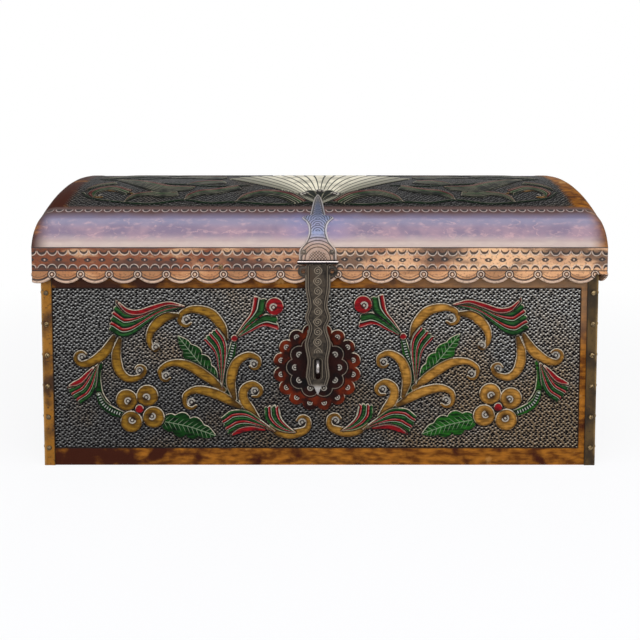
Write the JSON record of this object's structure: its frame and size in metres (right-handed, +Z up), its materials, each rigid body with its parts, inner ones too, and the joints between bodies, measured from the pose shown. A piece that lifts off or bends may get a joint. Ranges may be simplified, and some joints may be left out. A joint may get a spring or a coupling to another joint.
{
  "type": "dome top trunk",
  "caption": "Low leather-covered storage trunk with a barrel lid, scalloped valance, corner bindings and a long chased hasp that closes over a staple.",
  "frame": {"origin": "middle of the underside, on the floor", "axes": "+X along the length to the right seen from the front, +Y to the back, +Z up"},
  "size_m": [0.7644, 0.4258, 0.387],
  "materials": {
    "pine_board": "sawn boards, aged and waxed",
    "tooled_leather": "tooled, stained and painted leather, waxed",
    "plain_leather": "smooth stained leather, waxed",
    "binding_leather": "smooth amber leather strip, worn",
    "tack_brass": "aged domed tacks",
    "bright_steel": "rubbed bright iron with dark engraving",
    "forged_iron": "dark chased iron"
  },
  "bodies": {
    "trunk_body": {"bottom_board": "pine_board", "front_board": "pine_board", "back_board": "pine_board", "left_end_board": "pine_board", "right_end_board": "pine_board", "front_leather": "tooled_leather", "back_leather": "plain_leather", "left_end_leather": "tooled_leather", "right_end_leather": "tooled_leather", "front_left_binding": "binding_leather", "front_right_binding": "binding_leather", "back_left_binding": "binding_leather", "back_right_binding": "binding_leather", "corner_tacks": "tack_brass", "hasp_staple": "bright_steel", "hinge_body_leaf_left": "forged_iron", "hinge_body_leaf_right": "forged_iron", "hinge_body_screws": "forged_iron", "hinge_pin_left": "forged_iron", "hinge_pin_right": "forged_iron"},
    "lid": {"lid_front_rail": "pine_board", "lid_back_rail": "pine_board", "lid_left_end": "pine_board", "lid_right_end": "pine_board", "lid_stave_1": "pine_board", "lid_stave_2": "pine_board", "lid_stave_3": "pine_board", "lid_stave_4": "pine_board", "lid_stave_5": "pine_board", "lid_stave_6": "pine_board", "lid_stave_7": "pine_board", "lid_stave_8": "pine_board", "lid_stave_9": "pine_board", "lid_dome_leather": "tooled_leather", "lid_left_leather": "tooled_leather", "lid_right_leather": "tooled_leather", "valance_front": "tooled_leather", "valance_left": "tooled_leather", "valance_right": "tooled_leather", "back_band": "plain_leather", "valance_tacks": "tack_brass", "hinge_lid_leaf_left": "forged_iron", "hinge_lid_leaf_right": "forged_iron", "hinge_lid_screws": "forged_iron", "hasp_plate": "bright_steel", "hasp_plate_nails": "bright_steel", "hasp_pin": "bright_steel"},
    "hasp": {"hasp_strap": "forged_iron"}
  },
  "joints": [
    {"name": "lid_hinge", "type": "hinge", "parent": "trunk_body", "child": "lid", "pos_m": [0, 0.1998, 0.26], "axis": [-1, 0, 0], "range_deg": [0, 105]},
    {"name": "hasp_hinge", "type": "hinge", "parent": "lid", "child": "hasp", "pos_m": [-0.0025, -0.208, 0.2765], "axis": [-1, 0, 0], "range_deg": [0, 165]}
  ]
}
